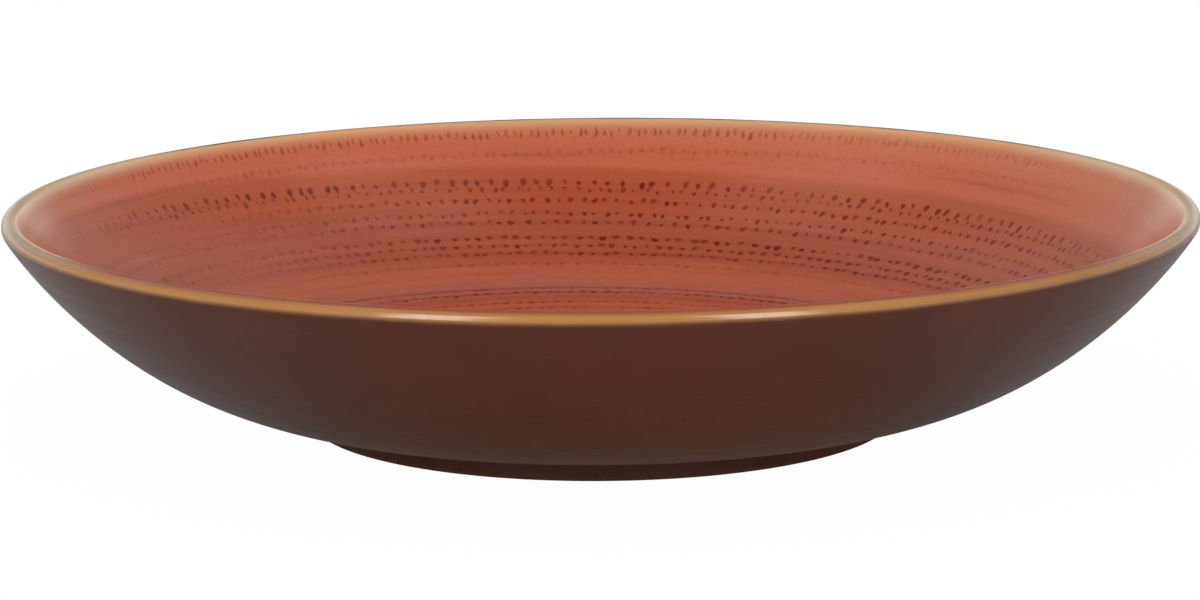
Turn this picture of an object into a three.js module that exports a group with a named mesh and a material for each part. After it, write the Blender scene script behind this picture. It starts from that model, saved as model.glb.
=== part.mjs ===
// Deep coupe plate: a stoneware body with a turned foot ring, under four fired coats of glaze.
// Millimetres, +Z up. The origin is the centre of the foot ring, on the table.
import * as THREE from "three";

// The whole plate, measured over its glaze
const PLATE_DIAMETER = 280;
const PLATE_HEIGHT = 51.6;

// Wall: one sweeping curve from the foot to the lip, which is a full round
const LIP_THICKNESS = 4.2;
const WALL_THICKNESS_AT_FOOT = 5.6;
const UNDERSIDE_SLOPE = 2.3; // degrees above level, where the wall leaves the foot
const UNDERSIDE_REACH = 38; // how far the level stretch pulls the curve outwards
const RIM_SLOPE = 58; // degrees above level, where the wall meets the lip
const RIM_REACH = 10; // how far the steep stretch pulls the curve downwards

// Foot ring and the base inside it
const FOOT_DIAMETER = 139.5;
const FOOT_HEIGHT = 5.3; // table to the underside of the wall
const FOOT_WIDTH = 6;
const FOOT_EDGE_RADIUS = 0.6;
const FOOT_ROOT_RADIUS = 1.4;
const RECESS_DEPTH = 3.4;
const RECESS_ROOT_RADIUS = 1.2;
const BASE_THICKNESS = 5.9; // at the middle of the well

// Glaze
const GLAZE_THICKNESS = 0.35;
const GLAZE_BOND = 0.02; // clearance between a coat and the clay that it covers
const GLAZE_LINE = 1; // height of the bare clay on both sides of the foot ring
const RIM_GLAZE_DROP = 8; // degrees round the lip, from its widest point down to the rim glaze's edge

// Fineness of the facets and of the profiles
const FACETS_ROUND = 64;
const WALL_STEPS = 7;
const FLOOR_STEPS = 3;
const ROUND_STEPS = 2; // in each small fillet
const RIM_STEPS = 3;
const SAME_POINT = 0.001; // points of a profile closer than this are one

// Angles in a profile: 0 points away from the axis, 90 points up
const OUTWARD = 0;
const UP = 90;
const INWARD = 180;
const DOWN = 270;

function direction(degrees) {
  const angle = THREE.MathUtils.degToRad(degrees);
  return new THREE.Vector2(Math.cos(angle), Math.sin(angle));
}

function pointFrom(start, degrees, distance) {
  return start.clone().addScaledVector(direction(degrees), distance);
}

// Points of an arc in a profile, with both of its ends.
function arc(centre, radius, from, to, steps) {
  const points = [];
  for (let i = 0; i <= steps; i += 1) {
    points.push(pointFrom(centre, THREE.MathUtils.lerp(from, to, i / steps), radius));
  }
  return points;
}

// Joins stretches of a profile that meet end to end, with each meeting point kept once.
function joined(...stretches) {
  const points = [];
  for (const point of stretches.flat()) {
    const last = points.at(-1);
    if (!last || last.distanceTo(point) > SAME_POINT) {
      points.push(point);
    }
  }
  return points;
}

const lipRadius = LIP_THICKNESS / 2;
const lipCentre = new THREE.Vector2(PLATE_DIAMETER / 2 - lipRadius, PLATE_HEIGHT - lipRadius);
const lipOuterAngle = RIM_SLOPE - 90;
const lipInnerAngle = RIM_SLOPE + 90;

const footRadius = FOOT_DIAMETER / 2;
const footEdge = Math.min(FOOT_EDGE_RADIUS, GLAZE_LINE);
const footRoot = Math.min(FOOT_ROOT_RADIUS, FOOT_HEIGHT - GLAZE_LINE);
const footRootCentre = new THREE.Vector2(footRadius + footRoot, FOOT_HEIGHT - footRoot);
const footRootEnd = UP + UNDERSIDE_SLOPE;

const recessRadius = footRadius - FOOT_WIDTH;
const recessRoot = Math.min(RECESS_ROOT_RADIUS, RECESS_DEPTH - GLAZE_LINE);
const recessRootCentre = new THREE.Vector2(recessRadius - recessRoot, RECESS_DEPTH - recessRoot);
const floorHeight = RECESS_DEPTH + BASE_THICKNESS;

// Outer face of the wall, over its glaze.
const wallStart = pointFrom(footRootCentre, footRootEnd, footRoot);
const wallEnd = pointFrom(lipCentre, lipOuterAngle, lipRadius);
const wallCurve = new THREE.CubicBezierCurve(
  wallStart,
  pointFrom(wallStart, UNDERSIDE_SLOPE, UNDERSIDE_REACH),
  pointFrom(wallEnd, RIM_SLOPE, -RIM_REACH),
  wallEnd,
);

// The wall thins smoothly from the foot to the lip.
function wallThickness(t) {
  return LIP_THICKNESS + (WALL_THICKNESS_AT_FOOT - LIP_THICKNESS) * (1 - t) ** 2;
}

// A point under the wall's outer face, at a depth measured square to that face.
function wallPoint(t, depth) {
  const along = wallCurve.getTangent(t);
  const inward = new THREE.Vector2(-along.y, along.x);
  return wallCurve.getPoint(t).addScaledVector(inward, depth);
}

// The stretches below follow the glazed surface at depth 0 and the clay at the glaze's thickness.
const coatDepth = GLAZE_THICKNESS - GLAZE_BOND;

function recessStretch(depth) {
  return [
    new THREE.Vector2(0, RECESS_DEPTH + depth),
    ...arc(recessRootCentre, recessRoot + depth, UP, OUTWARD, ROUND_STEPS),
    new THREE.Vector2(recessRadius + depth, GLAZE_LINE),
  ];
}

function outerStretch(depth) {
  const wall = [];
  for (let i = 1; i < WALL_STEPS; i += 1) {
    wall.push(wallPoint(i / WALL_STEPS, depth));
  }
  return joined(
    [new THREE.Vector2(footRadius - depth, GLAZE_LINE)],
    arc(footRootCentre, footRoot + depth, INWARD, footRootEnd, ROUND_STEPS),
    wall,
    arc(lipCentre, lipRadius - depth, lipOuterAngle, -RIM_GLAZE_DROP, ROUND_STEPS),
  );
}

function rimStretch(depth) {
  return arc(lipCentre, lipRadius - depth, -RIM_GLAZE_DROP, UP, RIM_STEPS);
}

function innerStretch(depth) {
  const wall = [];
  for (let i = WALL_STEPS - 1; i >= 0; i -= 1) {
    const t = i / WALL_STEPS;
    wall.push(wallPoint(t, wallThickness(t) - depth));
  }
  const floorEdge = wall.at(-1);
  const floorCentre = new THREE.Vector2(0, floorHeight - depth);
  const pull = floorEdge.x / 3; // a third of the run from each end makes an even curve
  const floor = new THREE.CubicBezierCurve(
    floorEdge,
    pointFrom(floorEdge, UNDERSIDE_SLOPE, -pull),
    pointFrom(floorCentre, OUTWARD, pull),
    floorCentre,
  );
  return joined(
    arc(lipCentre, lipRadius - depth, UP, lipInnerAngle, ROUND_STEPS),
    wall,
    floor.getPoints(FLOOR_STEPS),
  );
}

// The bare clay that stands on the table, from the recess round to the outer side.
function footStretch() {
  const inner = recessRadius + GLAZE_THICKNESS;
  const outer = footRadius - GLAZE_THICKNESS;
  return [
    ...arc(new THREE.Vector2(inner + footEdge, footEdge), footEdge, INWARD, DOWN, ROUND_STEPS),
    ...arc(new THREE.Vector2(outer - footEdge, footEdge), footEdge, DOWN, DOWN + 90, ROUND_STEPS),
  ];
}

// A profile turned about the plate's axis. Seen with the axis at the left, it runs anticlockwise.
function turned(name, profile, material) {
  const geometry = new THREE.LatheGeometry(profile, FACETS_ROUND).rotateX(Math.PI / 2);
  const mesh = new THREE.Mesh(geometry, material);
  mesh.name = name;
  return mesh;
}

// A coat whose profile is a closed loop, clear of the axis.
function ringCoat(name, stretch, material) {
  const loop = [...stretch(0), ...stretch(coatDepth).reverse()];
  return turned(name, [...loop, loop[0]], material);
}

const clay = new THREE.MeshStandardMaterial({ color: 0x4a2f25, roughness: 0.85, metalness: 0 });
const coralGlaze = new THREE.MeshStandardMaterial({ color: 0xb0603f, roughness: 0.4, metalness: 0 });
const ochreGlaze = new THREE.MeshStandardMaterial({ color: 0xbe9054, roughness: 0.35, metalness: 0 });
const brownGlaze = new THREE.MeshStandardMaterial({ color: 0x54362b, roughness: 0.5, metalness: 0 });

const bodyProfile = joined(
  recessStretch(GLAZE_THICKNESS),
  footStretch(),
  outerStretch(GLAZE_THICKNESS),
  rimStretch(GLAZE_THICKNESS),
  innerStretch(GLAZE_THICKNESS),
);
const innerProfile = [...innerStretch(coatDepth).reverse(), ...innerStretch(0)];
const recessProfile = [...recessStretch(0), ...recessStretch(coatDepth).reverse()];

const plate = new THREE.Group();
plate.add(turned("stoneware_body", bodyProfile, clay));
plate.add(turned("inner_glaze", innerProfile, coralGlaze));
plate.add(ringCoat("rim_glaze", rimStretch, ochreGlaze));
plate.add(ringCoat("outer_glaze", outerStretch, brownGlaze));
plate.add(turned("recess_glaze", recessProfile, brownGlaze));

export default plate;
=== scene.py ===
"""Deep coupe plate of glazed stoneware: the visual model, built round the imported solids.

The plate is a clay body under four coats of glaze, and each of the five is turned from a profile of
its own. Everything is in metres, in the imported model's frame: +Z is up along the plate's axis, and the
origin is on the table, under the middle of the plate.
"""

import logging
import math
from dataclasses import dataclass
from enum import Enum

import bpy
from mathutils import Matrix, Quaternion, Vector


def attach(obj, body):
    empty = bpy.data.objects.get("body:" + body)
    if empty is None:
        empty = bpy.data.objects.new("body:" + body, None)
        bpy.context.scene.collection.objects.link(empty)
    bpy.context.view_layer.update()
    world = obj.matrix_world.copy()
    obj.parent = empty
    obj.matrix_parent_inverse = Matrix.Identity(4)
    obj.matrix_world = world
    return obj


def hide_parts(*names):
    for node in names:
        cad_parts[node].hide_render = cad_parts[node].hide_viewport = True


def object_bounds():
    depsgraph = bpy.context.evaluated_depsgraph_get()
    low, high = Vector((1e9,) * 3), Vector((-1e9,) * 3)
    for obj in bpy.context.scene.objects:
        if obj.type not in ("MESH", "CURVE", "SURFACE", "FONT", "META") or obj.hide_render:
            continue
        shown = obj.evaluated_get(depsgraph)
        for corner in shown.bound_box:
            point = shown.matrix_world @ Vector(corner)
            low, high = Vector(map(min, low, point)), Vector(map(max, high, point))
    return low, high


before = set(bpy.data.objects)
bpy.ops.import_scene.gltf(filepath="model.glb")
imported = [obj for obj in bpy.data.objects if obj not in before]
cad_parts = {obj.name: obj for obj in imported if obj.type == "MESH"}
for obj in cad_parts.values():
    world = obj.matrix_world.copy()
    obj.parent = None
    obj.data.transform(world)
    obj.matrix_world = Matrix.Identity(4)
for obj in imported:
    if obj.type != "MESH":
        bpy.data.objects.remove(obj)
cad_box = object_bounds()

log = logging.getLogger("coupe_plate")

MM = 0.001
BODY = "root"

Socket = bpy.types.NodeSocket
Value = float | Socket
Colour = tuple[float, float, float, float]
Span = tuple[float, float]  # start and end of a smooth step
Fade = tuple[float, float, float, float]  # start and end of a smooth step, then its results there

WHITE: Colour = (1.0, 1.0, 1.0, 1.0)


def paint(code: int) -> Colour:
    """Turns a screen colour into the linear one that shaders take.

    Args:
        code: The colour as a hexadecimal number, such as 0xb0603f.

    Returns:
        Red, green, blue and an alpha of 1.
    """
    channels = [(code >> shift & 255) / 255 for shift in (16, 8, 0)]
    red, green, blue = ((c / 12.92) if c < 0.04045 else ((c + 0.055) / 1.055) ** 2.4 for c in channels)
    return red, green, blue, 1.0


class Stretch(Enum):
    """The stretches of the plate's profile, in order from the middle of the base."""

    RECESS = "base inside the foot ring"
    FOOT = "bare land of the foot ring"
    OUTER = "outer face"
    LIP = "outer half of the lip"
    INNER = "inner face"


@dataclass(frozen=True)
class PlateForm:
    """The turned form that the clay and every coat follow, measured over the glaze.

    A point of a profile has its distance from the axis in x and its height in z. An angle in a profile
    is 0 where it points away from the axis and a quarter turn where it points up.
    """

    radius: float
    height: float
    lip_thickness: float = 4.2 * MM
    wall_at_foot: float = 5.6 * MM
    underside_slope: float = math.radians(2.3)
    underside_reach: float = 38 * MM
    rim_slope: float = math.radians(58)
    rim_reach: float = 10 * MM
    foot_radius: float = 69.75 * MM
    foot_height: float = 5.3 * MM
    foot_width: float = 6 * MM
    foot_edge: float = 0.6 * MM
    foot_root: float = 1.4 * MM
    recess_depth: float = 3.4 * MM
    recess_root: float = 1.2 * MM
    base_thickness: float = 5.9 * MM
    glaze: float = 0.35 * MM
    glaze_line: float = 1 * MM
    lip_glaze_drop: float = math.radians(8)
    wall_steps: int = 48
    floor_steps: int = 18
    round_steps: int = 8
    lip_steps: int = 40

    @classmethod
    def from_frame(cls) -> "PlateForm":
        """Takes the plate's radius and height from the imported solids, to a tenth of a millimetre."""
        high = cad_box[1]
        return cls(radius=round(high.x, 4), height=round(high.z, 4))

    @property
    def lip_radius(self) -> float:
        """Radius of the lip, which is a full round."""
        return self.lip_thickness / 2

    @property
    def lip_centre(self) -> Vector:
        """Middle of the lip's round."""
        return Vector((self.radius - self.lip_radius, 0, self.height - self.lip_radius))

    def stretch(self, part: Stretch, depth: float = 0.0) -> list[Vector]:
        """Points of one stretch of the profile.

        Args:
            part: Which stretch.
            depth: How far the points lie under the glazed surface.

        Returns:
            The points, in order from the middle of the base to the middle of the well.
        """
        makers = {
            Stretch.RECESS: self._recess,
            Stretch.FOOT: self._foot,
            Stretch.OUTER: self._outer,
            Stretch.LIP: self._lip,
            Stretch.INNER: self._inner,
        }
        return makers[part](depth)

    def _recess(self, depth: float) -> list[Vector]:
        """Base inside the foot ring, from the axis down to the ring's bare land.

        Args:
            depth: How far the points lie under the glazed surface.

        Returns:
            The points, in order.
        """
        edge = self.foot_radius - self.foot_width
        centre = Vector((edge - self.recess_root, 0, self.recess_depth - self.recess_root))
        ceiling = [
            Vector((centre.x * i / self.floor_steps, 0, self.recess_depth + depth))
            for i in range(self.floor_steps)
        ]
        corner = arc(centre, self.recess_root + depth, math.pi / 2, 0, self.round_steps)
        return [*ceiling, *corner, Vector((edge + depth, 0, self.glaze_line))]

    def _foot(self, depth: float) -> list[Vector]:
        """Bare clay that stands on the table.

        Args:
            depth: Makes no difference, because no glaze lies here.

        Returns:
            The points, in order.
        """
        inner = self.foot_radius - self.foot_width + self.glaze + self.foot_edge
        outer = self.foot_radius - self.glaze - self.foot_edge
        edge = self.foot_edge
        down = 1.5 * math.pi
        return [
            *arc(Vector((inner, 0, edge)), edge, math.pi, down, self.round_steps),
            *arc(Vector((outer, 0, edge)), edge, down, math.tau, self.round_steps),
        ]

    def _outer(self, depth: float) -> list[Vector]:
        """Outer side of the foot ring and outer face of the wall, up to the lip's glaze.

        Args:
            depth: How far the points lie under the glazed surface.

        Returns:
            The points, in order.
        """
        foot = self._foot_root_centre()
        root = arc(foot, self.foot_root + depth, math.pi, self._foot_root_end(), self.round_steps)
        wall = [self._wall_point(i / self.wall_steps, depth) for i in range(1, self.wall_steps)]
        start = self.rim_slope - math.pi / 2
        end = -self.lip_glaze_drop
        lip = arc(self.lip_centre, self.lip_radius - depth, start, end, self.round_steps)
        return [Vector((self.foot_radius - depth, 0, self.glaze_line)), *root, *wall, *lip]

    def _lip(self, depth: float) -> list[Vector]:
        """Lip from below its widest point up to its crest."""
        start = -self.lip_glaze_drop
        return arc(self.lip_centre, self.lip_radius - depth, start, math.pi / 2, self.lip_steps)

    def _inner(self, depth: float) -> list[Vector]:
        """Inner half of the lip, inner face of the wall and floor of the well.

        Args:
            depth: How far the points lie under the glazed surface.

        Returns:
            The points, in order.
        """
        end = self.rim_slope + math.pi / 2
        lip = arc(self.lip_centre, self.lip_radius - depth, math.pi / 2, end, self.lip_steps // 2)
        wall = []
        for i in reversed(range(self.wall_steps)):
            t = i / self.wall_steps
            wall.append(self._wall_point(t, self._wall_thickness(t) - depth))
        edge = wall[-1]
        centre = Vector((0, 0, self.recess_depth + self.base_thickness - depth))
        pull = edge.x / 3  # a third of the run from each end makes an even curve
        floor = [
            bezier(
                edge,
                edge - heading(self.underside_slope) * pull,
                centre + heading(0) * pull,
                centre,
                i / self.floor_steps,
            )
            for i in range(1, self.floor_steps + 1)
        ]
        return [*lip, *wall, *floor]

    def _foot_root_centre(self) -> Vector:
        """Middle of the fillet between the foot ring and the wall."""
        return Vector((self.foot_radius + self.foot_root, 0, self.foot_height - self.foot_root))

    def _foot_root_end(self) -> float:
        """Angle at which that fillet runs into the wall."""
        return math.pi / 2 + self.underside_slope

    def _wall_thickness(self, t: float) -> float:
        """Thickness of the wall, which thins smoothly from the foot (t 0) to the lip (t 1)."""
        return self.lip_thickness + (self.wall_at_foot - self.lip_thickness) * (1 - t) ** 2

    def _wall_point(self, t: float, depth: float) -> Vector:
        """Point under the wall's outer face, at a depth square to that face.

        Args:
            t: Place along the wall, from 0 at the foot to 1 at the lip.
            depth: Distance under the outer face.

        Returns:
            The point.
        """
        start = self._foot_root_centre() + heading(self._foot_root_end()) * self.foot_root
        end = self.lip_centre + heading(self.rim_slope - math.pi / 2) * self.lip_radius
        near_start = start + heading(self.underside_slope) * self.underside_reach
        near_end = end - heading(self.rim_slope) * self.rim_reach
        along = bezier_tangent(start, near_start, near_end, end, t)
        inward = Vector((-along.z, 0, along.x))
        return bezier(start, near_start, near_end, end, t) + inward * depth


def heading(angle: float) -> Vector:
    """Unit vector at an angle in a profile."""
    return Vector((math.cos(angle), 0, math.sin(angle)))


def arc(centre: Vector, radius: float, start: float, end: float, steps: int) -> list[Vector]:
    """Points of an arc in a profile, with both of its ends.

    Args:
        centre: Middle of the arc.
        radius: Radius of the arc.
        start: Angle of the first point.
        end: Angle of the last point.
        steps: Number of chords.

    Returns:
        The points, in order.
    """
    return [centre + heading(start + (end - start) * i / steps) * radius for i in range(steps + 1)]


def bezier(a: Vector, b: Vector, c: Vector, d: Vector, t: float) -> Vector:
    """Point on a cubic curve with the ends a and d and the handles b and c."""
    s = 1 - t
    return a * s**3 + b * 3 * s * s * t + c * 3 * s * t * t + d * t**3


def bezier_tangent(a: Vector, b: Vector, c: Vector, d: Vector, t: float) -> Vector:
    """Unit direction of that curve."""
    s = 1 - t
    return ((b - a) * s * s + (c - b) * 2 * s * t + (d - c) * t * t).normalized()


class NodeBench:
    """Adds nodes to a tree and wires them together."""

    def __init__(self, tree: bpy.types.NodeTree) -> None:
        """Takes the tree to work on, and empties it."""
        self.tree = tree
        tree.nodes.clear()

    def add(self, kind: str, **options: object) -> bpy.types.Node:
        """Adds a node.

        Args:
            kind: The node's type, without its leading word ShaderNode.
            options: The node's options by name.

        Returns:
            The new node.
        """
        node = self.tree.nodes.new(f"ShaderNode{kind}")
        for option, value in options.items():
            setattr(node, option, value)
        return node

    def feed(self, socket: Socket, value: object) -> None:
        """Links an input to another node's output, or sets it to a constant.

        Args:
            socket: The input.
            value: The output or the constant.
        """
        if isinstance(value, Socket):
            self.tree.links.new(value, socket)
        else:
            socket.default_value = value

    def math(self, operation: str, *values: Value) -> Socket:
        """Adds one Math node.

        Args:
            operation: What the node works out.
            values: Its inputs, in order.

        Returns:
            The node's result.
        """
        node = self.add("Math", operation=operation)
        for socket, value in zip(node.inputs, values):
            self.feed(socket, value)
        return node.outputs[0]

    def fade(
        self, value: Value, start: float, end: float, low: Value = 0.0, high: Value = 1.0
    ) -> Socket:
        """Smooth step from low to high.

        Args:
            value: What the step follows.
            start: Value at which the result is low.
            end: Value at which the result is high, which may be below start.
            low: Result at the start.
            high: Result at the end.

        Returns:
            The step's result.
        """
        node = self.add("MapRange", interpolation_type="SMOOTHSTEP")
        for socket, setting in zip(node.inputs, (value, start, end, low, high)):
            self.feed(socket, setting)
        return node.outputs[0]

    def mix(self, factor: Value, first: object, second: object, blend: str = "MIX") -> Socket:
        """Colour between two colours.

        Args:
            factor: Share of the second colour.
            first: Colour, or an output that gives one.
            second: Colour, or an output that gives one.
            blend: How the second is laid over the first.

        Returns:
            The mixed colour.
        """
        node = self.add("Mix", data_type="RGBA", blend_type=blend)
        self.feed(node.inputs["Factor"], factor)
        colour_inputs = [socket for socket in node.inputs if socket.type == "RGBA"]
        for socket, colour in zip(colour_inputs, (first, second)):
            self.feed(socket, colour)
        return next(socket for socket in node.outputs if socket.type == "RGBA")

    def noise(
        self, place: Socket, scale: float, detail: float = 2.0, roughness: float = 0.5
    ) -> bpy.types.Node:
        """Soft noise.

        Args:
            place: Coordinates to read it at.
            scale: Grains per metre, or per unit of the coordinates.
            detail: How many finer layers it has.
            roughness: How strong they are.

        Returns:
            The Noise Texture node.
        """
        node = self.add("TexNoise")
        self.feed(node.inputs["Vector"], place)
        self.feed(node.inputs["Scale"], scale)
        self.feed(node.inputs["Detail"], detail)
        self.feed(node.inputs["Roughness"], roughness)
        return node

    def ramp(self, value: Value, stops: list[tuple[float, Colour]]) -> Socket:
        """Colour along a ramp.

        Args:
            value: Place on the ramp, from 0 to 1.
            stops: Places and their colours, in order.

        Returns:
            The ramp's colour.
        """
        node = self.add("ValToRGB")
        elements = node.color_ramp.elements
        for _ in stops[2:]:
            elements.new(1.0)
        for element, (place, colour) in zip(elements, stops):
            element.position = place
            element.color = colour
        self.feed(node.inputs[0], value)
        return node.outputs[0]

    def vector(self, x: Value, y: Value, z: Value) -> Socket:
        """Puts three values together.

        Args:
            x: First value.
            y: Second value.
            z: Third value.

        Returns:
            The vector.
        """
        node = self.add("CombineXYZ")
        for socket, value in zip(node.inputs, (x, y, z)):
            self.feed(socket, value)
        return node.outputs[0]


def new_material(name: str) -> tuple[bpy.types.Material, NodeBench]:
    """Starts a material.

    Args:
        name: Name of the finish.

    Returns:
        The material and a bench on its empty node tree.
    """
    material = bpy.data.materials.new(name)
    material.use_nodes = True
    return material, NodeBench(material.node_tree)


@dataclass(frozen=True)
class SurfacePlace:
    """Where a point of the plate is, as outputs that a finish can read."""

    position: Socket
    x: Socket
    y: Socket
    z: Socket

    @classmethod
    def on(cls, bench: NodeBench) -> "SurfacePlace":
        """Reads the piece's own coordinates.

        Args:
            bench: Where the nodes go.

        Returns:
            The place.
        """
        position = bench.add("TexCoord").outputs["Object"]
        split = bench.add("SeparateXYZ")
        bench.feed(split.inputs[0], position)
        return cls(position, *split.outputs)


@dataclass(frozen=True)
class RingPlace:
    """Place on the rings about one centre: distance, share of a turn and point on the unit circle."""

    radius: Socket
    turn: Socket
    east: Socket
    north: Socket

    @classmethod
    def about(cls, bench: NodeBench, x: Socket, y: Socket, centre: tuple[float, float]) -> "RingPlace":
        """Works the place out.

        Args:
            bench: Where the nodes go.
            x: The point's x.
            y: The point's y.
            centre: Middle of the rings.

        Returns:
            The place.
        """
        from_x = bench.math("SUBTRACT", x, centre[0])
        from_y = bench.math("SUBTRACT", y, centre[1])
        squared = bench.math("MULTIPLY_ADD", from_x, from_x, bench.math("MULTIPLY", from_y, from_y))
        radius = bench.math("SQRT", squared)
        turn = bench.math("MULTIPLY_ADD", bench.math("ARCTAN2", from_y, from_x), 1 / math.tau, 0.5)
        safe = bench.math("MAXIMUM", radius, 0.1 * MM)
        return cls(radius, turn, bench.math("DIVIDE", from_x, safe), bench.math("DIVIDE", from_y, safe))

    def swept(self, bench: NodeBench, round_it: float, across: float) -> Socket:
        """Coordinates in which noise turns into streaks that follow the rings.

        Args:
            bench: Where the nodes go.
            round_it: Grains in about a sixth of a turn.
            across: Grains per metre of radius.

        Returns:
            The coordinates.
        """
        return bench.vector(
            bench.math("MULTIPLY", self.east, round_it),
            bench.math("MULTIPLY", self.north, round_it),
            bench.math("MULTIPLY", self.radius, across),
        )


@dataclass(frozen=True)
class Look:
    """What a finish gives its surface: colour, roughness, and the height of its fine relief."""

    colour: Socket
    roughness: Socket
    height: Socket


class Finish:
    """A fired surface. Each finish says how it looks, how glossy it is and how deep its relief is."""

    name: str
    specular: float
    relief: float

    def look(self, bench: NodeBench, place: SurfacePlace) -> Look:
        """Lays out the finish's own nodes."""
        raise NotImplementedError

    def material(self) -> bpy.types.Material:
        """Makes the material.

        Returns:
            The finish as a material that reads nothing but its piece's own coordinates.
        """
        material, bench = new_material(self.name)
        look = self.look(bench, SurfacePlace.on(bench))
        bump = bench.add("Bump")
        bench.feed(bump.inputs["Distance"], self.relief)
        bench.feed(bump.inputs["Height"], look.height)
        shader = bench.add("BsdfPrincipled")
        bench.feed(shader.inputs["Base Color"], look.colour)
        bench.feed(shader.inputs["Roughness"], look.roughness)
        bench.feed(shader.inputs["Specular IOR Level"], self.specular)
        bench.feed(shader.inputs["Normal"], bump.outputs[0])
        output = bench.add("OutputMaterial")
        bench.feed(output.inputs["Surface"], shader.outputs[0])
        return material


@dataclass(frozen=True)
class LipColours:
    """Colours that run into each other round the lip, where the glazes meet and thin out.

    Angles go round the lip from its crest, in degrees: below 0 towards the well, above 0 outwards.
    """

    form: PlateForm
    ochre: Colour = paint(0x9f6f38)
    peach: Colour = paint(0xcb9468)
    umber: Colour = paint(0x8a4d2e)
    # painted shade: the dark brown below darkens the crest along the back of the lip
    back_shade: Colour = paint(0x3c2a20)
    # the cream and taupe below are painted sheen, the pale grazing reflection at both ends of the lip
    sheen_cream: Colour = paint(0xcba988)
    sheen_taupe: Colour = paint(0x97806a)
    well_ends: float = -118
    well_starts: float = -42
    peach_ends: float = -24
    umber_starts: float = -8
    umber_ends: float = 22
    # where the painted shade at the back of the crest comes in
    back_shade_reach: Span = (50 * MM, 90 * MM)
    # distances from the axis over which the painted sheen at the sides comes in
    sheen_reach: Span = (102 * MM, 128 * MM)
    taupe_reach: Span = (-8, 24)
    ochre_starts: float = 64
    brown_starts: float = 0.95 * MM
    brown_ends: float = -1.05 * MM
    tilt: float = 0.002
    sag: float = 0.03
    wander: float = 14
    wander_grain: float = 60
    wear: Fade = (0.36, 0.56, 0.25, 1.0)
    wear_grain: float = 30
    drift: float = 0.6 * MM
    drift_grain: float = 90

    def towards_well(self, bench: NodeBench, place: SurfacePlace, well: Socket) -> Socket:
        """Lays the lip's colours over the glaze of the well.

        Args:
            bench: Where the nodes go.
            place: The point's place.
            well: Colour of the well.

        Returns:
            The colour with the lip's bands in it.
        """
        angle = self._angle(bench, place)
        # painted sheen: the peach turns pale cream at both sides
        peach = bench.mix(self._sheen_sides(bench, place), self.peach, self.sheen_cream)
        colour = bench.mix(bench.fade(angle, self.well_ends, self.well_starts), well, peach)
        patches = bench.noise(place.position, self.wear_grain, detail=3, roughness=0.6).outputs[0]
        worn = bench.fade(patches, *self.wear)
        crest = bench.math("MULTIPLY", bench.fade(angle, self.peach_ends, self.umber_starts), worn)
        return bench.mix(crest, colour, self._crest(bench, place, self.sheen_cream))

    def towards_outside(
        self, bench: NodeBench, place: SurfacePlace, outside: Socket | Colour
    ) -> Socket:
        """Lays the lip's colours over the glaze of the outer face.

        Args:
            bench: Where the nodes go.
            place: The point's place.
            outside: Colour of the outer face.

        Returns:
            The colour with the lip's bands in it.
        """
        angle = self._angle(bench, place)
        # painted sheen: at both sides the crest is pale cream, turning taupe further out
        pale = bench.mix(bench.fade(angle, *self.taupe_reach), self.sheen_cream, self.sheen_taupe)
        crest = self._crest(bench, place, pale)
        colour = bench.mix(bench.fade(angle, self.umber_ends, self.ochre_starts), crest, self.ochre)
        drift = bench.noise(place.position, self.drift_grain, detail=3).outputs[0]
        up = bench.math("SUBTRACT", place.z, self.form.lip_centre.z)
        up = bench.math("SUBTRACT", up, self.drift / 2)
        up = bench.math("MULTIPLY_ADD", drift, self.drift, up)
        rise = bench.math("MULTIPLY_ADD", place.x, self.sag, self.tilt)
        up = bench.math("MULTIPLY_ADD", place.x, bench.math("MULTIPLY", rise, -1.0), up)
        return bench.mix(bench.fade(up, self.brown_starts, self.brown_ends), colour, outside)

    def _sheen_sides(self, bench: NodeBench, place: SurfacePlace) -> Socket:
        """1 at both sides of the plate, where the lip is pale with painted sheen, and 0 at its front and
        back.
        """
        return bench.fade(bench.math("ABSOLUTE", place.x), *self.sheen_reach)

    def _crest(self, bench: NodeBench, place: SurfacePlace, pale: Socket | Colour) -> Socket:
        """Colour of the crest: umber, with painted shade at the back and pale painted sheen at both
        sides.

        Args:
            bench: Where the nodes go.
            place: The point's place.
            pale: Colour of the painted sheen at both sides.

        Returns:
            The crest's colour.
        """
        # painted shade darkens the crest towards the back
        back_shaded = bench.mix(bench.fade(place.y, *self.back_shade_reach), self.umber, self.back_shade)
        return bench.mix(self._sheen_sides(bench, place), back_shaded, pale)

    def _angle(self, bench: NodeBench, place: SurfacePlace) -> Socket:
        """Angle round the lip from its crest, with some wander, so that no edge is a perfect circle.

        Args:
            bench: Where the nodes go.
            place: The point's place.

        Returns:
            The angle, in degrees.
        """
        ring = RingPlace.about(bench, place.x, place.y, (0.0, 0.0))
        out = bench.math("SUBTRACT", ring.radius, self.form.lip_centre.x)
        up = bench.math("SUBTRACT", place.z, self.form.lip_centre.z)
        angle = bench.math("DEGREES", bench.math("ARCTAN2", out, up))
        drift = bench.noise(place.position, self.wander_grain).outputs[0]
        drift = bench.math("MULTIPLY_ADD", drift, self.wander, -self.wander / 2)
        return bench.math("ADD", angle, drift)


@dataclass(frozen=True)
class ChatterRow:
    """One ring of marks, as a tool that chatters leaves them in the slip under the glaze.

    The radius may be an output, and then the number of marks is one too.
    """

    radius: Value
    marks: Value
    width: float
    height: float
    strength: float
    trail: float = 0.0
    taper: float = 0.5


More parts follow.
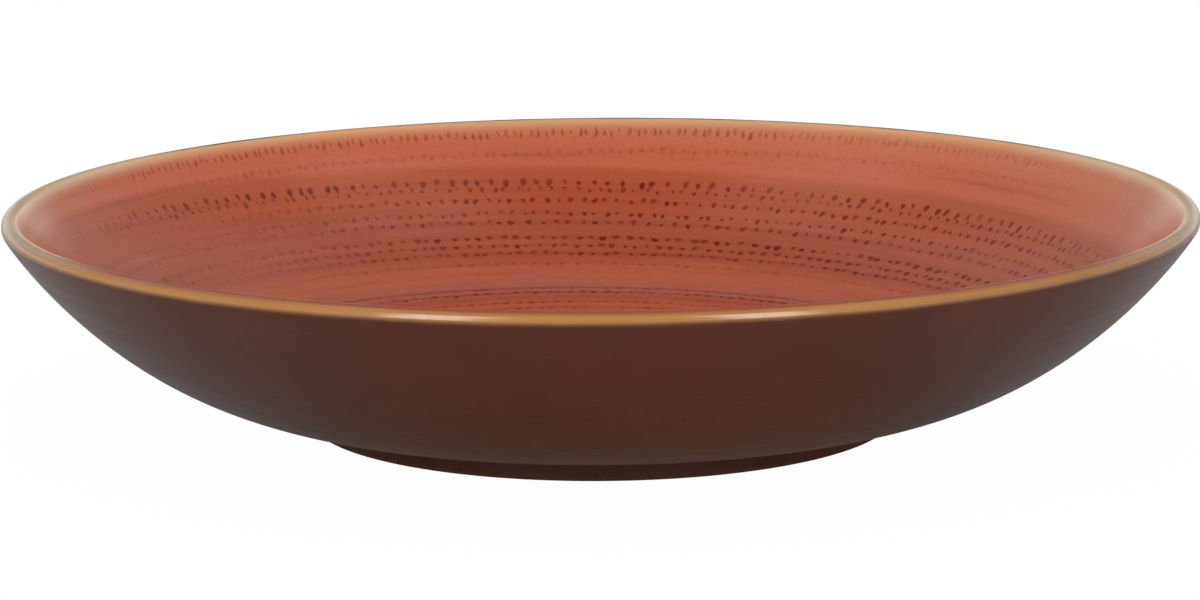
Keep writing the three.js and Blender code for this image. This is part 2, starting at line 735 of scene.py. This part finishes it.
class ChatterMarks:
    """The node group that draws one ring of marks."""

    NAME = "chatter_row"
    INPUTS = (
        "Turn", "Radius", "Row", "Marks", "Width", "Height", "Strength", "Trail", "Taper", "Seed"
    )
    LEAN = 0.5
    UNEVENNESS = 0.6 * MM
    MARGIN = 0.28  # share of a cell on each side that no mark's middle lies in
    LEAST_GROWTH = 0.7
    GROWTH_SPREAD = 0.5
    LEAST_DARKNESS = 0.7
    DROP_EDGE = (0.5, 0.08)
    LINE_EDGE = (1.0, 0.1)

    def __init__(self) -> None:
        """Makes the group."""
        self.group = bpy.data.node_groups.new(self.NAME, "ShaderNodeTree")
        for name in self.INPUTS:
            self.group.interface.new_socket(name=name, in_out="INPUT", socket_type="NodeSocketFloat")
        self.group.interface.new_socket(name="Mark", in_out="OUTPUT", socket_type="NodeSocketFloat")
        bench = NodeBench(self.group)
        given = self.group.nodes.new("NodeGroupInput").outputs
        result = self.group.nodes.new("NodeGroupOutput").inputs["Mark"]
        bench.feed(result, self._mark(bench, given))

    def _mark(self, bench: NodeBench, given: bpy.types.NodeOutputs) -> Socket:
        """Shape and darkness of the marks: leaning drops of uneven size, and a faint line through them.

        Args:
            bench: Where the nodes go.
            given: The group's inputs.

        Returns:
            1 in the middle of the darkest marks, 0 between the marks.
        """
        along = bench.math("MULTIPLY", given["Turn"], given["Marks"])
        chance = bench.add("TexWhiteNoise", noise_dimensions="2D")
        cell = bench.vector(bench.math("FLOOR", along), given["Seed"], 0.0)
        bench.feed(chance.inputs["Vector"], cell)
        split = bench.add("SeparateXYZ")
        bench.feed(split.inputs[0], chance.outputs["Color"])
        first, second, third = split.outputs
        middle = bench.math("MULTIPLY_ADD", first, 1 - 2 * self.MARGIN, self.MARGIN)
        pitch = bench.math("DIVIDE", bench.math("MULTIPLY", given["Row"], math.tau), given["Marks"])
        off_row = bench.math("SUBTRACT", given["Radius"], given["Row"])
        shift = bench.math("MULTIPLY_ADD", second, self.UNEVENNESS, -self.UNEVENNESS / 2)
        across = bench.math("ADD", off_row, shift)
        beside = bench.math("SUBTRACT", bench.math("FRACT", along), middle)
        beside = bench.math("MULTIPLY", beside, pitch)
        lean = bench.math("MULTIPLY_ADD", third, self.LEAN, -self.LEAN / 2)
        beside = bench.math("MULTIPLY_ADD", across, lean, beside)
        grown = bench.math("MULTIPLY_ADD", third, self.GROWTH_SPREAD, self.LEAST_GROWTH)
        tall = bench.math("DIVIDE", across, bench.math("MULTIPLY", given["Height"], grown))
        broad = bench.math("MULTIPLY", grown, bench.math("MULTIPLY_ADD", tall, given["Taper"], 1.0))
        wide = bench.math("DIVIDE", beside, bench.math("MULTIPLY", given["Width"], broad))
        squared = bench.math("MULTIPLY_ADD", wide, wide, bench.math("MULTIPLY", tall, tall))
        darkness = bench.math("MULTIPLY_ADD", second, 1 - self.LEAST_DARKNESS, self.LEAST_DARKNESS)
        darkness = bench.math("MULTIPLY", darkness, given["Strength"])
        drop = bench.math("MULTIPLY", bench.fade(squared, *self.DROP_EDGE), darkness)
        line = bench.math("DIVIDE", off_row, given["Height"])
        line = bench.fade(bench.math("ABSOLUTE", line), *self.LINE_EDGE, 0.0, given["Trail"])
        return bench.math("MAXIMUM", drop, line)

    def on(self, bench: NodeBench, ring: RingPlace, row: ChatterRow, seed: Value) -> Socket:
        """Adds one ring to a material.

        Args:
            bench: Where the group node goes.
            ring: Place about the middle of the ring.
            row: The ring's sizes.
            seed: Number that makes this ring's marks its own.

        Returns:
            The ring's marks.
        """
        node = bench.add("Group", node_tree=self.group)
        sizes = (row.radius, row.marks, row.width, row.height, row.strength, row.trail, row.taper)
        for name, setting in zip(self.INPUTS, (ring.turn, ring.radius, *sizes, seed)):
            bench.feed(node.inputs[name], setting)
        return node.outputs["Mark"]


class Tone(Enum):
    """Tones that the coral glaze takes where it lies thicker or thinner."""

    RUSSET = 0x9e4930
    EMBER = 0xa44927
    ROSE = 0xa65747
    RUST = 0xa75030
    BRICK = 0xa95337
    CORAL = 0xaf5841
    SALMON = 0xb75d3e
    APRICOT = 0xbc6b4a


@dataclass(frozen=True)
class CoralGlaze(Finish):
    """Satin coral glaze, with bands of deeper colour and rings of dark marks under it."""

    lip: LipColours
    name: str = "coral_glaze"
    specular: float = 0.5
    relief: float = 0.008 * MM
    ring_centre: tuple[float, float] = (-3.3 * MM, -1.15 * MM)
    band_start: float = 40 * MM
    band_end: float = 140 * MM
    bands: tuple[tuple[float, Tone], ...] = (
        (60 * MM, Tone.BRICK),
        (82 * MM, Tone.BRICK),
        (86 * MM, Tone.RUSSET),
        (89 * MM, Tone.ROSE),
        (92 * MM, Tone.ROSE),
        (97 * MM, Tone.CORAL),
        (101 * MM, Tone.BRICK),
        (104 * MM, Tone.RUSSET),
        (116 * MM, Tone.RUSSET),
        (121 * MM, Tone.EMBER),
        (125 * MM, Tone.EMBER),
        (128 * MM, Tone.RUST),
        (129.5 * MM, Tone.SALMON),
        (133 * MM, Tone.SALMON),
        (137 * MM, Tone.APRICOT),
    )
    streak_dark: Colour = paint(0x84361a)
    streak_light: Colour = paint(0xbe6a46)
    mark: Colour = paint(0x6c1600)
    rows: tuple[ChatterRow, ...] = (
        ChatterRow(125.2 * MM, 200, 1.3 * MM, 1.4 * MM, 1.0, 0.0),
        ChatterRow(123.6 * MM, 246, 1.0 * MM, 0.95 * MM, 0.9, 0.06),
        ChatterRow(120.9 * MM, 240, 1.2 * MM, 1.05 * MM, 1.0, 0.14),
        ChatterRow(117.5 * MM, 236, 1.15 * MM, 1.0 * MM, 0.95, 0.12),
        ChatterRow(115.0 * MM, 200, 1.4 * MM, 1.05 * MM, 0.95, 0.14),
        ChatterRow(110.4 * MM, 205, 1.65 * MM, 1.15 * MM, 1.05, 0.12),
        ChatterRow(107.8 * MM, 214, 1.4 * MM, 1.05 * MM, 0.95, 0.12),
        ChatterRow(105.3 * MM, 208, 1.5 * MM, 1.05 * MM, 0.9, 0.22),
        ChatterRow(101.6 * MM, 190, 1.3 * MM, 1.0 * MM, 0.45, 0.12),
        ChatterRow(90.9 * MM, 150, 2.1 * MM, 1.0 * MM, 0.55, 0.35),
        ChatterRow(88.5 * MM, 184, 1.65 * MM, 1.05 * MM, 0.9, 0.35),
        ChatterRow(82.6 * MM, 160, 1.6 * MM, 1.0 * MM, 0.75, 0.2),
    )
    rim_rows: tuple[ChatterRow, ...] = (
        ChatterRow(134.6 * MM, 380, 0.75 * MM, 1.25 * MM, 0.6, 0.0, -0.7),
        ChatterRow(130.9 * MM, 290, 1.0 * MM, 0.9 * MM, 0.4, 0.08),
    )
    # painted sheen: the marks fade out towards both sides, as if veiled by a pale reflection
    sheen_marks_fade: Fade = (108 * MM, 130 * MM, 1.0, 0.15)
    thin_side: Fade = (-95 * MM, -40 * MM, 0.35, 1.0)
    thin_inside: Span = (121.8 * MM, 123 * MM)
    strong_side: Fade = (25 * MM, 85 * MM, 0.0, 0.3)
    faint_ticks: Fade = (25 * MM, 85 * MM, 1.0, 0.55)
    patchy: Fade = (0.3, 0.5, 0.65, 1.0)
    patch_grain: Span = (3.0, 300.0)
    ragged: float = 1.1 * MM
    ragged_grain: float = 620
    floor_edge: float = 80 * MM
    floor_row_pitch: float = 5.4 * MM
    floor_mark_pitch: float = 3.1 * MM
    floor_mark_width: float = 1.4 * MM
    floor_mark_height: float = 1.0 * MM
    floor_mark_strength: float = 0.8
    floor_mark_trail: float = 0.12
    streak_grain: Span = (2.0, 500.0)
    dark_streaks: Fade = (0.52, 0.75, 0.0, 0.35)
    light_streaks: Fade = (0.48, 0.25, 0.0, 0.25)
    mottling: Fade = (0.45, 0.75, 0.0, 0.22)
    mottle_grain: float = 800
    gloss: Fade = (0.3, 0.7, 0.19, 0.26)

    def look(self, bench: NodeBench, place: SurfacePlace) -> Look:
        """Lays out the bands, streaks and marks.

        Args:
            bench: Where the nodes go.
            place: The point's place.

        Returns:
            The glaze's look.
        """
        ring = RingPlace.about(bench, place.x, place.y, self.ring_centre)
        swept = ring.swept(bench, *self.streak_grain)
        streak = bench.noise(swept, 1.0, detail=3, roughness=0.6).outputs[0]
        marks = self._marks(bench, place)
        ground = self._bands(bench, ring)
        ground = bench.mix(bench.fade(streak, *self.dark_streaks), ground, self.streak_dark)
        ground = bench.mix(bench.fade(streak, *self.light_streaks), ground, self.streak_light)
        mottle = bench.noise(place.position, self.mottle_grain, detail=3, roughness=0.7).outputs[0]
        ground = bench.mix(bench.fade(mottle, *self.mottling), ground, self.streak_dark)
        colour = bench.mix(marks, ground, self.mark)
        return Look(
            colour=self.lip.towards_well(bench, place, colour),
            roughness=bench.fade(streak, *self.gloss),
            height=bench.math("SUBTRACT", streak, marks),
        )

    def _bands(self, bench: NodeBench, ring: RingPlace) -> Socket:
        """Ground colour, which changes from ring to ring.

        Args:
            bench: Where the nodes go.
            ring: Place about the middle of the rings.

        Returns:
            The colour.
        """
        span = self.band_end - self.band_start
        stops = [((radius - self.band_start) / span, paint(tone.value)) for radius, tone in self.bands]
        where = bench.math("DIVIDE", bench.math("SUBTRACT", ring.radius, self.band_start), span)
        return bench.ramp(where, stops)

    def _marks(self, bench: NodeBench, place: SurfacePlace) -> Socket:
        """All the rings of marks together.

        Args:
            bench: Where the nodes go.
            place: The point's place.

        Returns:
            1 in the middle of the darkest marks, 0 where there are none.
        """
        rough = bench.add("SeparateXYZ")
        nudges = bench.noise(place.position, self.ragged_grain).outputs["Color"]
        bench.feed(rough.inputs[0], nudges)
        x, y = (
            bench.math(
                "MULTIPLY_ADD", nudge, self.ragged, bench.math("SUBTRACT", along, self.ragged / 2)
            )
            for nudge, along in zip(rough.outputs, (place.x, place.y))
        )
        ring = RingPlace.about(bench, x, y, self.ring_centre)
        rim_ring = RingPlace.about(bench, x, y, (0.0, 0.0))
        chatter = ChatterMarks()
        marks = self._floor_marks(bench, chatter, ring)
        for seed, row in enumerate(self.rows):
            marks = bench.math("MAXIMUM", marks, chatter.on(bench, ring, row, seed + 0.5))
        thinned = bench.fade(place.x, *self.thin_side)
        kept = bench.math("MAXIMUM", thinned, bench.fade(ring.radius, *self.thin_inside))
        kept = bench.math("ADD", kept, bench.fade(place.x, *self.strong_side))
        marks = bench.math("MULTIPLY", marks, kept)
        ticks = bench.fade(place.x, *self.faint_ticks)
        for seed, row in enumerate(self.rim_rows, len(self.rows)):
            tick = bench.math("MULTIPLY", chatter.on(bench, rim_ring, row, seed + 0.5), ticks)
            marks = bench.math("MAXIMUM", marks, tick)
        patches = bench.noise(ring.swept(bench, *self.patch_grain), 1.0).outputs[0]
        marks = bench.math("MULTIPLY", marks, bench.fade(patches, *self.patchy))
        # painted sheen: the marks fade out towards both sides
        sideways = bench.math("ABSOLUTE", place.x)
        return bench.math("MULTIPLY", marks, bench.fade(sideways, *self.sheen_marks_fade))

    def _floor_marks(self, bench: NodeBench, chatter: ChatterMarks, ring: RingPlace) -> Socket:
        """Evenly spaced rings on the floor of the well.

        Args:
            bench: Where the nodes go.
            chatter: Draws one ring.
            ring: Place about the middle of the rings.

        Returns:
            The rings' marks, which end at the edge of the floor.
        """
        number = bench.math("FLOOR", bench.math("DIVIDE", ring.radius, self.floor_row_pitch))
        radius = bench.math("MULTIPLY", bench.math("ADD", number, 0.5), self.floor_row_pitch)
        length = bench.math("MULTIPLY", radius, math.tau)
        row = ChatterRow(
            radius,
            bench.math("FLOOR", bench.math("DIVIDE", length, self.floor_mark_pitch)),
            self.floor_mark_width,
            self.floor_mark_height,
            self.floor_mark_strength,
            self.floor_mark_trail,
        )
        inside = bench.fade(ring.radius, self.floor_edge, self.floor_edge - MM)
        return bench.math("MULTIPLY", chatter.on(bench, ring, row, number), inside)


@dataclass(frozen=True)
class OchreGlaze(Finish):
    """Glossy ochre glaze of the lip."""

    lip: LipColours
    name: str = "ochre_glaze"
    specular: float = 0.8
    relief: float = 0.0015 * MM
    brown: Colour = paint(0x492417)
    mottle_grain: float = 400
    gloss: Fade = (0.3, 0.7, 0.15, 0.2)

    def look(self, bench: NodeBench, place: SurfacePlace) -> Look:
        """Lays out the lip's colours and a slightly uneven gloss.

        Args:
            bench: Where the nodes go.
            place: The point's place.

        Returns:
            The glaze's look.
        """
        mottle = bench.noise(place.position, self.mottle_grain, detail=3, roughness=0.6).outputs[0]
        return Look(
            colour=self.lip.towards_outside(bench, place, self.brown),
            roughness=bench.fade(mottle, *self.gloss),
            height=mottle,
        )


@dataclass(frozen=True)
class BrownGlaze(Finish):
    """Satin dark brown glaze of the outside."""

    lip: LipColours
    name: str = "brown_glaze"
    specular: float = 0.5
    relief: float = 0.0003 * MM
    ground: Colour = paint(0x462114)
    cloud: Colour = paint(0x4c2417)
    clouding: Span = (0.35, 0.65)
    cloud_grain: float = 25
    turning_grain: Span = (1.5, 600.0)
    gloss: Fade = (0.3, 0.7, 0.27, 0.31)

    def look(self, bench: NodeBench, place: SurfacePlace) -> Look:
        """Lays out soft clouds and fine turning lines.

        Args:
            bench: Where the nodes go.
            place: The point's place.

        Returns:
            The glaze's look.
        """
        ring = RingPlace.about(bench, place.x, place.y, (0.0, 0.0))
        clouds = bench.noise(place.position, self.cloud_grain, detail=4, roughness=0.6).outputs[0]
        swept = ring.swept(bench, *self.turning_grain)
        turning = bench.noise(swept, 1.0, detail=3, roughness=0.6).outputs[0]
        ground = bench.mix(bench.fade(clouds, *self.clouding), self.ground, self.cloud)
        return Look(
            colour=self.lip.towards_outside(bench, place, ground),
            roughness=bench.fade(turning, *self.gloss),
            height=turning,
        )


@dataclass(frozen=True)
class BareClay(Finish):
    """Dark stoneware, fired without glaze and ground smooth."""

    name: str = "bare_clay"
    specular: float = 0.3
    relief: float = 0.05 * MM
    ground: Colour = paint(0x4a2f25)
    grit: Colour = paint(0x6b4a3a)
    grain: float = 1600
    gritty: Fade = (0.4, 0.7, 0.0, 0.5)
    gloss: Fade = (0.3, 0.7, 0.75, 0.92)

    def look(self, bench: NodeBench, place: SurfacePlace) -> Look:
        """Lays out the clay's grain.

        Args:
            bench: Where the nodes go.
            place: The point's place.

        Returns:
            The clay's look.
        """
        grain = bench.noise(place.position, self.grain, detail=3, roughness=0.7).outputs[0]
        return Look(
            colour=bench.mix(bench.fade(grain, *self.gritty), self.ground, self.grit),
            roughness=bench.fade(grain, *self.gloss),
            height=grain,
        )


@dataclass
class TurnedPiece:
    """A piece of the plate: a closed profile, turned about the plate's axis.

    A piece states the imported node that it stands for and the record's slot of its finish.
    """

    form: PlateForm
    material: bpy.types.Material
    name: str
    node: str
    slot: str
    steps_round: int = 288
    weld: float = 0.005 * MM
    crease: float = math.radians(40)

    def profile(self) -> list[Vector]:
        """Points of the profile, from and to the axis or round a closed loop."""
        raise NotImplementedError

    def build(self) -> bpy.types.Object:
        """Draws the profile from one point, and turns it as on a lathe.

        Returns:
            The piece, at the origin.
        """
        profile = self.profile()
        bpy.ops.object.select_all(action="DESELECT")
        bpy.ops.mesh.primitive_plane_add(size=MM)
        piece = bpy.context.active_object
        piece.name = piece.data.name = self.name
        bpy.ops.object.mode_set(mode="EDIT")
        bpy.ops.mesh.merge(type="CENTER")
        bpy.ops.transform.translate(value=profile[0])
        for start, end in zip(profile, profile[1:]):
            bpy.ops.mesh.extrude_vertices_move(TRANSFORM_OT_translate={"value": end - start})
        bpy.ops.object.mode_set(mode="OBJECT")
        lathe = piece.modifiers.new("lathe", "SCREW")
        lathe.axis = "Z"
        lathe.angle = math.tau
        lathe.steps = lathe.render_steps = self.steps_round
        bpy.ops.object.modifier_apply(modifier=lathe.name)
        bpy.ops.object.mode_set(mode="EDIT")
        bpy.ops.mesh.select_all(action="SELECT")
        bpy.ops.mesh.remove_doubles(threshold=self.weld)
        bpy.ops.mesh.normals_make_consistent(inside=False)
        bpy.ops.object.mode_set(mode="OBJECT")
        bpy.ops.object.shade_smooth_by_angle(angle=self.crease)
        return piece

    def dress(self, piece: bpy.types.Object) -> None:
        """Gives the piece its finish and its place in the frame.

        Args:
            piece: The built piece.
        """
        piece.data.materials.append(self.material)
        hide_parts(self.node)
        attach(piece, BODY)

    def make(self) -> None:
        """Builds and dresses the piece, and reports it."""
        piece = self.build()
        self.dress(piece)
        log.info("%s: %d faces, in place of %s", piece.name, len(piece.data.polygons), self.node)


@dataclass
class ClayBody(TurnedPiece):
    """The stoneware under the glaze, with its foot ring. Only the ring's land is bare."""

    name: str = "clay_body"
    node: str = "stoneware_body"
    slot: str = "stoneware"

    def profile(self) -> list[Vector]:
        """Outline of the clay, from the base's middle round to the well's."""
        return [point for part in Stretch for point in self.form.stretch(part, self.form.glaze)]


@dataclass
class GlazeCoat(TurnedPiece):
    """A coat of glaze over one stretch of the clay."""

    part: Stretch = Stretch.INNER
    bond: float = 0.02 * MM

    def profile(self) -> list[Vector]:
        """The glazed surface and back along the underside of the coat.

        Returns:
            The points, from and to the axis where the coat reaches it, and else round a loop.
        """
        surface = self.form.stretch(self.part)
        underside = self.form.stretch(self.part, self.form.glaze - self.bond)
        loop = [*surface, *reversed(underside)]
        on_axis = min(surface[0].x, surface[-1].x) < self.weld
        if not on_axis:
            return [*loop, loop[0]]
        return loop if surface[0].x < self.weld else [*reversed(underside), *surface]


@dataclass
class Studio:
    """Two tall lamps at the front, white surroundings, a white floor and the camera.

    What the glaze mirrors is set apart from what lights it: the sky's level by its direction, as the x,
    y and z of a unit vector, and the floor's level by the distance from the plate's shadow, as painted
    shade, with painted warm bounce light by the foot.
    """

    floor_size: float = 12.0
    floor_drop: float = 0.05 * MM
    camera_distance: float = 950 * MM
    camera_elevation: float = math.radians(10.73)
    camera_roll: float = math.radians(-0.41)
    camera_offset: float = -0.31 * MM
    aim_height: float = 27.76 * MM
    lens: float = 120.3
    sensor: float = 36.0
    near_clip: float = 0.01
    lamp_distance: float = 1.2
    lamp_width: float = 0.3
    lamp_height: float = 0.95
    lamp_power: float = 4.4
    lamp_azimuths: tuple[float, float] = (math.radians(-30), math.radians(29))
    lamp_elevation: float = math.radians(23)
    world_light: float = 0.88
    dim: float = 0.045
    sides_light: float = 0.5
    sides_reach: Span = (0.1, 0.45)
    front_share: float = 0.16
    back_reach: Span = (-0.3, 1.0)
    horizon_light: float = 0.95
    horizon_height: Fade = (0.08, 0.3, 0.16, 0.35)
    horizon_reach: Span = (1.0, 0.3)
    panel_light: float = 0.75
    panel_place: tuple[float, float] = (0.42, 0.05)
    panel_reach: Span = (0.3, 0.12)
    floor_paint: Colour = (0.92, 0.92, 0.92, 1.0)
    floor_whiteness: Fade = (0.2, 0.5, 0.98, 1.0)
    # painted shadow and painted warm bounce light on the floor that the glaze mirrors
    shadow_centre: tuple[float, float] = (0.006, -0.06)
    shadow_light: float = 0.045
    shadow_rise: float = 1.7
    floor_light: float = 0.56
    foot_light: float = 0.16
    painted_bounce_tint: Colour = (1.0, 0.69, 0.54, 1.0)
    foot_reach: Span = (0.04, 0.1)

    def set_up(self) -> None:
        """Makes everything in the studio."""
        bpy.context.scene.view_settings.view_transform = "Standard"
        self._camera()
        self._floor()
        self._world()
        for name, azimuth in zip(("lamp_left", "lamp_right"), self.lamp_azimuths):
            self._lamp(name, azimuth)
        log.info("studio: camera, floor, world and two lamps")

    def _camera(self) -> None:
        """Puts the camera where the photograph was taken from."""
        ahead = Vector((0, math.cos(self.camera_elevation), -math.sin(self.camera_elevation)))
        aim = Vector((self.camera_offset, 0, self.aim_height))
        bpy.ops.object.select_all(action="DESELECT")
        bpy.ops.object.camera_add(location=aim - ahead * self.camera_distance)
        camera = bpy.context.active_object
        camera.name = "portrait_camera"
        camera.rotation_mode = "QUATERNION"
        roll = Quaternion((0, 0, 1), self.camera_roll)
        camera.rotation_quaternion = ahead.to_track_quat("-Z", "Y") @ roll
        camera.data.lens = self.lens
        camera.data.sensor_width = self.sensor
        camera.data.sensor_fit = "HORIZONTAL"
        camera.data.clip_start = self.near_clip
        bpy.context.scene.camera = camera

    def _floor(self) -> None:
        """Lays a floor that the camera sees as white and the glaze mirrors with a painted shadow near
        the plate.
        """
        bpy.ops.object.select_all(action="DESELECT")
        bpy.ops.mesh.primitive_plane_add(size=self.floor_size, location=(0, 0, -self.floor_drop))
        floor = bpy.context.active_object
        floor.name = "studio_floor"
        material, bench = new_material("white_floor")
        place = SurfacePlace.on(bench)
        ring = RingPlace.about(bench, place.x, place.y, (0.0, 0.0))
        lit = bench.add("BsdfDiffuse")
        bench.feed(lit.inputs["Color"], self.floor_paint)
        white = bench.add("Emission")
        rays = bench.add("LightPath").outputs
        whiteness = bench.fade(ring.radius, *self.floor_whiteness)
        shown = bench.math("MULTIPLY", rays["Is Camera Ray"], whiteness)
        seen = bench.math("MAXIMUM", shown, rays["Is Glossy Ray"])
        # painted shadow: the floor that the glaze mirrors is an emission, darkest near the plate
        shade = RingPlace.about(bench, place.x, place.y, self.shadow_centre)
        mirrored = bench.math("MULTIPLY_ADD", shade.radius, self.shadow_rise, self.shadow_light)
        # painted bounce light: never darker than this near the foot
        mirrored = bench.math("MAXIMUM", mirrored, self.foot_light)
        mirrored = bench.math("MINIMUM", mirrored, self.floor_light)
        # painted bounce light: a warm tint near the foot
        bounce_tint = bench.mix(bench.fade(shade.radius, *self.foot_reach), self.painted_bounce_tint, WHITE)
        bench.feed(white.inputs["Color"], bench.mix(rays["Is Camera Ray"], bounce_tint, WHITE))
        bench.feed(white.inputs["Strength"], bench.math("MAXIMUM", mirrored, rays["Is Camera Ray"]))
        blend = bench.add("MixShader")
        for socket, value in zip(blend.inputs, (seen, lit.outputs[0], white.outputs[0])):
            bench.feed(socket, value)
        output = bench.add("OutputMaterial")
        bench.feed(output.inputs["Surface"], blend.outputs[0])
        floor.data.materials.append(material)

    def _world(self) -> None:
        """Sets up even surroundings, in which the glaze mirrors a horizon, two sides and two panels."""
        world = bpy.data.worlds.new("white_studio")
        world.use_nodes = True
        bpy.context.scene.world = world
        bench = NodeBench(world.node_tree)
        towards = bench.add("SeparateXYZ")
        bench.feed(towards.inputs[0], bench.add("TexCoord").outputs["Generated"])
        x, y, z = towards.outputs
        aside = bench.math("ABSOLUTE", x)
        front_light = self.front_share * self.sides_light
        back = bench.fade(y, *self.back_reach, front_light, self.sides_light)
        sides = bench.math("MULTIPLY_ADD", bench.fade(aside, *self.sides_reach), back, self.dim)
        height = bench.math("DIVIDE", z, bench.fade(aside, *self.horizon_height))
        horizon = bench.fade(height, *self.horizon_reach, 0.0, self.horizon_light)
        panel = RingPlace.about(bench, aside, y, self.panel_place)
        panels = bench.fade(panel.radius, *self.panel_reach, 0.0, self.panel_light)
        sky = bench.math("MAXIMUM", horizon, bench.math("MAXIMUM", panels, sides))
        rays = bench.add("LightPath").outputs
        shown = bench.math("MAXIMUM", rays["Is Camera Ray"], rays["Is Transmission Ray"])
        extra = bench.math("SUBTRACT", sky, self.world_light)
        level = bench.math("MULTIPLY_ADD", rays["Is Glossy Ray"], extra, self.world_light)
        background = bench.add("Background")
        bench.feed(background.inputs["Strength"], bench.math("MAXIMUM", shown, level))
        bench.feed(background.inputs["Color"], WHITE)
        output = bench.add("OutputWorld")
        bench.feed(output.inputs["Surface"], background.outputs[0])

    def _lamp(self, name: str, azimuth: float) -> None:
        """Stands up one tall soft lamp.

        Args:
            name: Name of the lamp.
            azimuth: Angle from the front, which is below 0 on the left.
        """
        level = math.cos(self.lamp_elevation)
        towards = Vector(
            (
                math.sin(azimuth) * level,
                -math.cos(azimuth) * level,
                math.sin(self.lamp_elevation),
            )
        )
        bpy.ops.object.select_all(action="DESELECT")
        bpy.ops.object.light_add(type="AREA", location=towards * self.lamp_distance)
        lamp = bpy.context.active_object
        lamp.name = name
        lamp.rotation_euler = (-towards).to_track_quat("-Z", "Y").to_euler()
        lamp.data.shape = "RECTANGLE"
        lamp.data.size = self.lamp_width
        lamp.data.size_y = self.lamp_height
        lamp.data.energy = self.lamp_power


def main() -> None:
    """Makes the plate piece by piece, then the studio round it."""
    logging.basicConfig(level=logging.INFO, format="%(name)s: %(message)s")
    form = PlateForm.from_frame()
    lip = LipColours(form)
    brown = BrownGlaze(lip).material()
    ochre = OchreGlaze(lip).material()
    pieces = (
        ClayBody(form, BareClay().material()),
        GlazeCoat(form, brown, "recess_coat", "recess_glaze", "brown_glaze", part=Stretch.RECESS),
        GlazeCoat(form, brown, "brown_coat", "outer_glaze", "brown_glaze", part=Stretch.OUTER),
        GlazeCoat(form, ochre, "ochre_lip", "rim_glaze", "ochre_glaze", part=Stretch.LIP),
        GlazeCoat(form, CoralGlaze(lip).material(), "coral_coat", "inner_glaze", "coral_glaze"),
    )
    for piece in pieces:
        piece.make()
    Studio().set_up()


if __name__ == "__main__":
    main()
